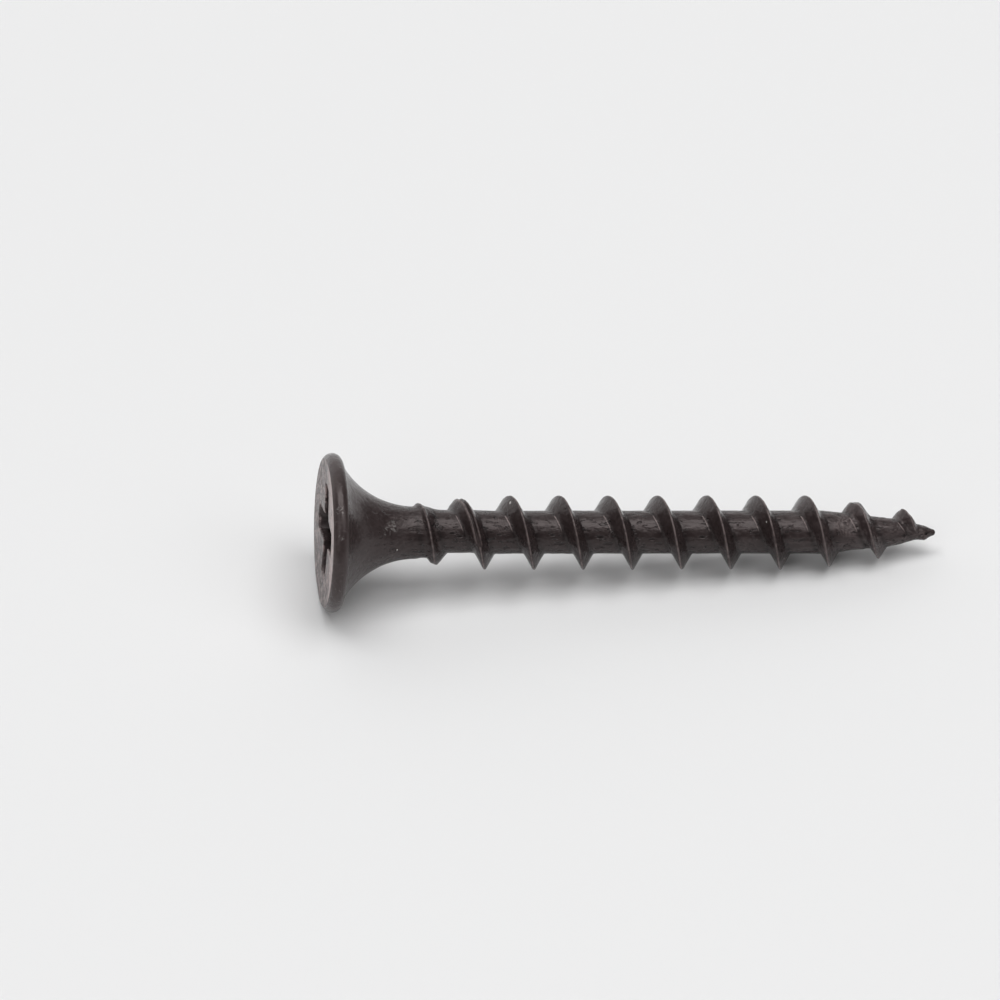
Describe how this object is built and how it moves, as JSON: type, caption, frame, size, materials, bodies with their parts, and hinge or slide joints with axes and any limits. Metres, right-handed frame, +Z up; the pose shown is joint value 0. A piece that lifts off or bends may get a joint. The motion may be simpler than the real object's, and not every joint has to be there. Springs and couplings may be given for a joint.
{
  "type": "drywall screw",
  "caption": "Black coarse-thread drywall screw with a bugle head, cross recess, plain neck and long tapered point, lying at rest.",
  "frame": {"origin": "on the ground under the middle of the lying screw", "axes": "+Z up; +X from the head towards the point, along the screw's length; +Y across it"},
  "size_m": [0.032, 0.0082, 0.0082],
  "materials": {
    "black_phosphate": "black phosphate over steel, satin, a little mottled by rolling, with dust"
  },
  "bodies": {
    "root": {"screw": "black_phosphate"}
  },
  "joints": []
}
